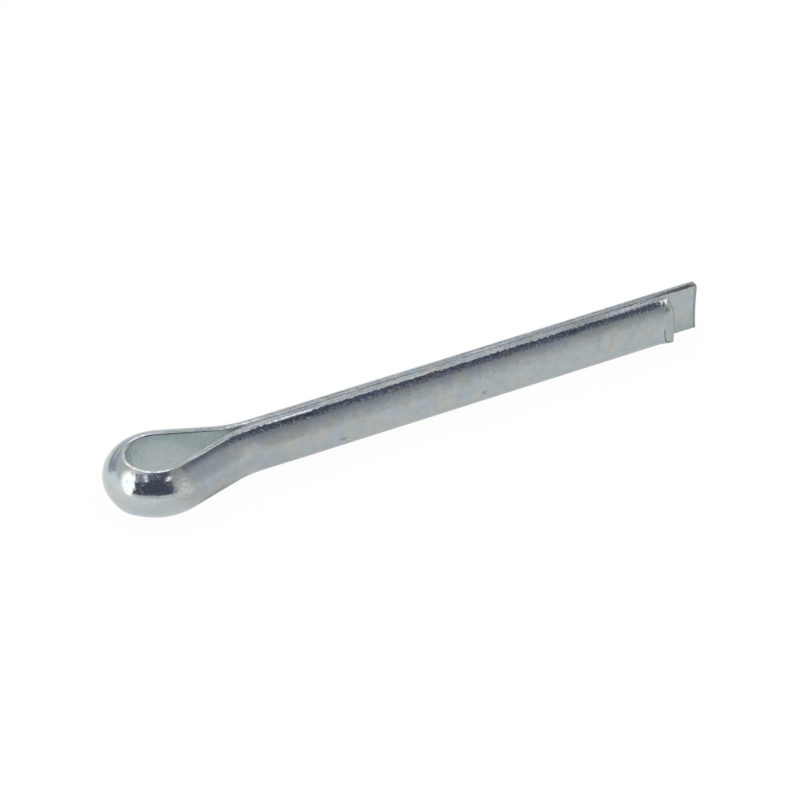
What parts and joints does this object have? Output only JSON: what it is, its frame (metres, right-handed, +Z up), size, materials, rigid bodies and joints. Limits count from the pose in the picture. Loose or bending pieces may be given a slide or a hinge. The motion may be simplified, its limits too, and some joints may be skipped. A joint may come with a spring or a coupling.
{
  "type": "split cotter pin",
  "caption": "Split cotter pin of half-round wire, bent into an eye; its straight legs lie together as a round shank, and the far leg runs past the near one.",
  "frame": {"origin": "on the shank's axis, at the plane where the straight legs begin, below the eye", "axes": "+X along the shank from the eye to the leg ends, +Y towards the long leg, +Z up, square to the plane of the eye"},
  "size_m": [0.074, 0.0125, 0.0058],
  "materials": {
    "zinc_plated_steel": "bright zinc plate with a clear blue passivate, glossy round the eye and slightly rough along the legs"
  },
  "bodies": {
    "root": {"split_pin": "zinc_plated_steel"}
  },
  "joints": []
}
